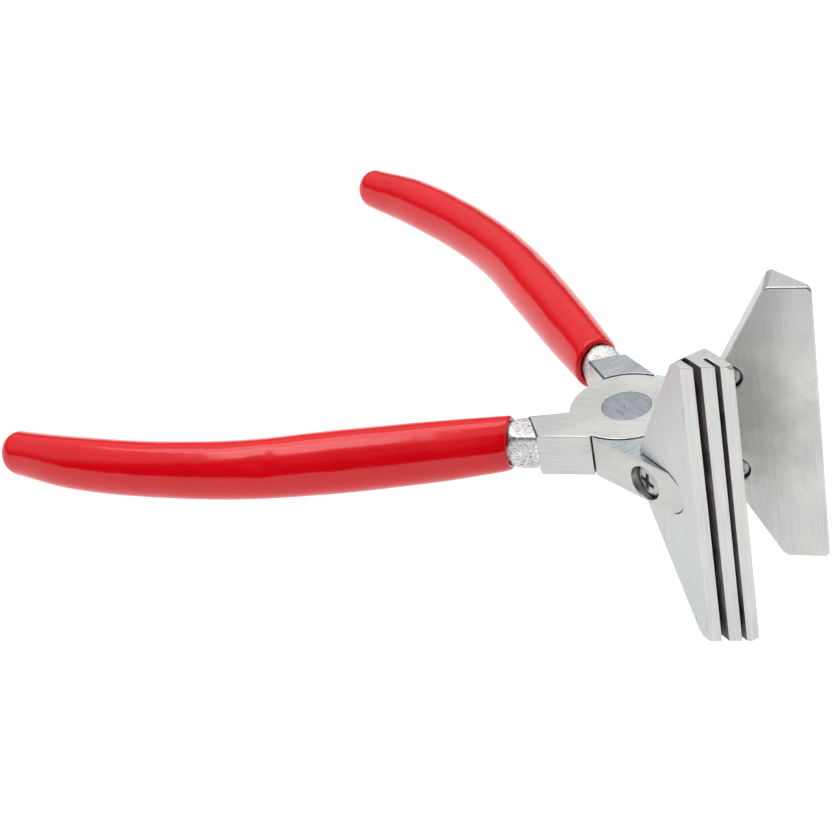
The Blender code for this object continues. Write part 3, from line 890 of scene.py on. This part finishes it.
def rivet():
    """The flush rivet, with a fine centre dimple in each peened head."""
    top = RIVET_HIGH.z
    half = rivet_flank(0.0, top)[:2]
    half += [(RIVET_HEAD_RADIUS, top - 0.00006), (RIVET_HEAD_RADIUS - 0.00006, top),
             (DIMPLE_RADIUS, top), (DIMPLE_RADIUS * 0.5, top - DIMPLE_DEPTH * 0.7),
             (0.0, top - DIMPLE_DEPTH)]
    lower = [(radius, -height) for radius, height in reversed(half)]
    piece = turned("pivot_rivet_look", lower + half, HUB_STEPS)
    smooth(piece)
    return piece


def cross_ring(reach, half_width, y, centre, turn):
    """One level of a cross recess's outline."""
    ring = []
    tip = math.degrees(math.atan2(half_width, reach))
    far = math.hypot(reach, half_width)
    inner_corner = half_width * math.sqrt(2) * 1.25
    for quarter in range(4):
        base = turn + 90 * quarter
        spots = ((far, base - tip), (far, base + tip), (inner_corner, base + 45))
        for radius, angle in spots:
            x, z = polar(radius, angle)
            ring.append(Vector((centre[0] + x, y, centre[2] + z)))
    return ring


def screw(name, centre, top, end, radius, height, shank_radius, turn, arm):
    """A domed cross-recess screw along Y, from the top of its head to its tip's end."""
    into = math.copysign(1, end - top)
    dome = ((0.25, 0.0), (0.45, 0.015), (0.60, 0.045), (0.72, 0.09), (0.82, 0.16),
            (0.90, 0.25), (0.96, 0.36), (0.99, 0.46), (1.00, 0.56))
    profile = [(0.0, top)]
    profile += [(radius * share, top + into * height * drop) for share, drop in dome]
    profile += [(radius, top + into * height), (shank_radius, top + into * height),
                (shank_radius, end - into * shank_radius * 0.4), (shank_radius * 0.6, end)]
    piece = turned(name, profile, SCREW_STEPS, "Y", centre)
    reach = radius * 0.62
    width = radius * arm
    levels = ((1.08, -0.12), (1.0, 0.0), (0.85, 0.30), (0.42, 0.72))
    rings = []
    for share, depth in levels:
        y = top + into * depth * height
        rings.append(cross_ring(reach * share, width * (0.6 + 0.4 * share), y, centre, turn))
    boolean(piece, loft("cross", rings))
    smooth(piece, 30)
    return piece


def darken_recess(piece, centre, top, end, radius):
    """Give a screw's cross recess the second of its materials, the dark one, as painted shade.
    """
    into = math.copysign(1, end - top)
    for face in piece.data.polygons:
        depth = (face.center.y - top) * into
        reach = math.hypot(face.center.x - centre[0], face.center.z - centre[2])
        in_cross = reach < radius * 0.66 and depth > radius * 0.03 + reach * 0.03
        if in_cross and depth < radius * 0.45:
            face.material_index = 1


# ---------------------------------------------------------------- assembly


def make_materials():
    """Every material, by its use."""
    return {
        "brushed": steel("brushed_forging", (0.735, 0.74, 0.715), (0.635, 0.64, 0.62),
                         (110, 2200, 2200), (0.26, 0.42), 0.10, depth=0.5),
        # a darker copy of the brushed steel for the levers' upright sides: painted shade
        "brushed_shaded_side": steel("brushed_forging_shaded_side",
                              (0.615, 0.62, 0.605), (0.525, 0.53, 0.515),
                              (110, 2200, 2200), (0.28, 0.44), 0.10, depth=0.5),
        "brushed_cool": steel("brushed_forging_cool",
                              (0.64, 0.67, 0.69), (0.50, 0.53, 0.55),
                              (2000, 140, 2000), (0.22, 0.36), 0.10, depth=0.8),
        "ground": steel("ground_jaw_outer", (0.68, 0.68, 0.66), (0.60, 0.60, 0.585),
                        (1800, 1800, 50), (0.30, 0.44), 0.07),
        "ground_cool": steel("ground_jaw_back",
                             (0.640, 0.660, 0.665), (0.575, 0.595, 0.60),
                             (1500, 1500, 50), (0.40, 0.56), 0.05, 30.0, depth=0.3),
        "peened": steel("peened_rivet", (0.48, 0.515, 0.55), (0.36, 0.395, 0.425),
                        (150, 1800, 1800), (0.24, 0.40), 0.14, turn=(0, 0, 21),
                        depth=1.0),
        "screw_metal": steel("screw_steel", (0.62, 0.61, 0.60), (0.38, 0.37, 0.37),
                             (900, 900, 900), (0.25, 0.45), 0.14),
        # darkened screw steel for the sunk face screws: painted shade of their seats
        "screw_painted_shade": steel("screw_steel_painted_shade", (0.46, 0.45, 0.45), (0.15, 0.15, 0.15),
                            (700, 700, 700), (0.22, 0.38), 0.14),
        "skin": forged_steel(),
        "vinyl": dipped_vinyl(),
        "face": ground_jaw_face(),
        "dark": painted_seam_shade_material(),
    }


def fit_screw(node, lever, body, axis, top, end, radius, kind, metal, dark):
    """Build a screw of a kind, put it in place and paint shade into its recess."""
    piece = screw(node + "_look", axis, top, end, radius, **kind)
    place(piece, lever, body, node, "screw_steel", metal, dark)
    darken_recess(piece, axis, top, end, radius)


def build_lever(label, up, lever, body, seed, top, looks):
    """One lever with its shank, grip and jaw screw; top is its ground top's material."""
    node = label + "_jaw_lever"
    piece = machined_lever(node + "_look")
    place(piece, lever, body, node, "forged_steel",
          looks["brushed_shaded_side"], looks["dark"], top)
    finish_lever(piece)
    tang = shank(label + "_lever_shank", up)
    place(tang, lever, body, node, "forged_steel", looks["skin"])
    node = label + "_lever_grip"
    sleeve = grip(node + "_look", up, seed)
    place(sleeve, lever, body, node, "dipped_vinyl", looks["vinyl"])
    fit_screw(label + "_jaw_screw", lever, body, JAW_SCREW_AXIS,
              JAW_SCREW_HIGH.y, JAW_SCREW_LOW.y, JAW_SCREW_HIGH.x - JAW_SCREW_CENTRE.x,
              JAW_SCREW, looks["screw_metal"], looks["dark"])


def build_tool():
    """Build every piece, put it in place and give it its material."""
    looks = make_materials()
    build_lever("plain", 1, PLAIN, "plain_side", 0, looks["brushed"], looks)
    build_lever("slotted", -1, SLOTTED, "slotted_side", 1, looks["brushed_cool"], looks)
    place(rivet(), REST, "plain_side", "pivot_rivet", "rivet_steel", looks["peened"])
    place(plain_jaw(), PLAIN, "plain_side", "plain_jaw", "ground_steel", looks["face"])
    near = place(slotted_jaw(), SLOTTED, "slotted_side", "slotted_jaw", "ground_steel",
                 looks["ground"])
    darken_slots(near, looks["dark"])
    cool_outer_face(near, looks["ground_cool"])
    for label, side in (("upper", 1), ("lower", -1)):
        # the face screws take the darkened steel, a painted shade of their sunk seats
        fit_screw(label + "_face_screw", PLAIN, "plain_side", face_screw_axis(side),
                  FACE_SCREW_LOW.y, FACE_SCREW_HIGH.y,
                  FACE_SCREW_HIGH.x - FACE_SCREW_CENTRE.x, FACE_SCREW,
                  looks["screw_painted_shade"], looks["dark"])


# ---------------------------------------------------------------- studio

CAMERA_AZIMUTH = 36.712
CAMERA_ELEVATION = 39.016
CAMERA_ROLL = -0.254
CAMERA_DISTANCE = 0.5813
CAMERA_LENS = 89.370
CAMERA_SHIFT = -0.0562
LOOK_OFFSET = (-0.05224, -0.02733, 0.01150)   # from the pivot to the point looked at
FLOOR_DROP = 0.00002       # keeps the floor off the tool's lowest faces


def make_camera():
    """The viewing angle."""
    data = bpy.data.cameras.new("camera")
    data.sensor_width = 36.0
    data.lens = CAMERA_LENS
    data.shift_y = CAMERA_SHIFT
    data.clip_start = 0.01
    camera = bpy.data.objects.new("camera", data)
    bpy.context.scene.collection.objects.link(camera)
    turn = (Matrix.Rotation(math.radians(CAMERA_AZIMUTH), 4, "Z")
            @ Matrix.Rotation(math.radians(90 - CAMERA_ELEVATION), 4, "X")
            @ Matrix.Rotation(math.radians(CAMERA_ROLL), 4, "Z"))
    target = PIVOT + Vector(LOOK_OFFSET)
    camera.matrix_world = (Matrix.Translation(target) @ turn
                           @ Matrix.Translation((0, 0, CAMERA_DISTANCE)))
    bpy.context.scene.camera = camera


def area_light(name, azimuth, elevation, distance, size, radiance, glossy=True):
    """A soft box aimed at the tool, placed by its direction from it in degrees.

    An azimuth of 0 is towards -Y and it grows towards +X, as the camera's does.
    """
    data = bpy.data.lights.new(name, "AREA")
    data.shape = "RECTANGLE"
    data.size, data.size_y = size
    data.energy = radiance * math.pi * size[0] * size[1]
    lamp = bpy.data.objects.new(name, data)
    bpy.context.scene.collection.objects.link(lamp)
    around, above = math.radians(azimuth), math.radians(elevation)
    way = Vector((math.sin(around) * math.cos(above), -math.cos(around) * math.cos(above),
                  math.sin(above)))
    centre = Vector((0.0, 0.0, 0.03))
    lamp.location = centre + way * distance
    lamp.rotation_euler = (-way).to_track_quat("-Z", "Y").to_euler()
    lamp.visible_glossy = glossy


def make_world():
    """A light tent: bright above and behind, dark low down and on the near side."""
    world = bpy.data.worlds.new("studio")
    bpy.context.scene.world = world
    world.use_nodes = True
    tree = world.node_tree
    background = tree.nodes["Background"]
    where = add(tree, "ShaderNodeTexCoord").outputs["Generated"]
    near = add(tree, "ShaderNodeVectorMath", {0: where, 1: (0.577, -0.816, 0.0)},
               operation="DOT_PRODUCT").outputs["Value"]
    height = add(tree, "ShaderNodeSeparateXYZ", {"Vector": where}).outputs["Z"]
    sky = ramp(tree, height, ((0.0, 0.08), (0.17, 0.18), (0.38, 0.80), (1.0, 0.85)))
    shade = ramp(tree, near, ((0.24, 1.0), (0.46, 0.05)))
    level = mix_colour(tree, sky, shade, 1.0, "MULTIPLY")
    tree.links.new(level, background.inputs["Color"])
    background.inputs["Strength"].default_value = 1.0


def make_floor():
    """A plain pale floor that glows, just under the tool's lowest point."""
    bm = bmesh.new()
    bmesh.ops.create_grid(bm, x_segments=1, y_segments=1, size=6.0)
    floor = mesh_object("floor", bm)
    floor.location.z = CAD_BOUNDS[0].z - FLOOR_DROP
    material, shader = new_material("floor")
    tree = material.node_tree
    where = add(tree, "ShaderNodeTexCoord").outputs["Object"]
    grain = stretched_noise(tree, where, (60, 60, 60), 3.0, 0.5)
    tone = ramp(tree, grain, ((0.3, 0.26), (0.7, 0.28)))
    tree.links.new(tone, shader.inputs["Base Color"])
    shader.inputs["Roughness"].default_value = 0.9
    shader.inputs["Specular IOR Level"].default_value = 0.1
    shader.inputs["Emission Color"].default_value = (1.0, 1.0, 1.0, 1.0)
    shader.inputs["Emission Strength"].default_value = 0.92
    floor.data.materials.append(material)


def make_studio():
    """Camera, light and floor."""
    make_camera()
    make_world()
    make_floor()
    area_light("back_box", CAMERA_AZIMUTH + 192, 56, 1.2, (1.3, 0.55), 2.2)
    area_light("left_box", CAMERA_AZIMUTH - 97, 65, 1.2, (0.65, 0.42), 3.4)
    area_light("front_fill", CAMERA_AZIMUTH - 20, 48, 1.4, (0.8, 0.8), 3.2, glossy=False)
    bpy.context.scene.view_settings.view_transform = "Standard"


build_tool()
make_studio()
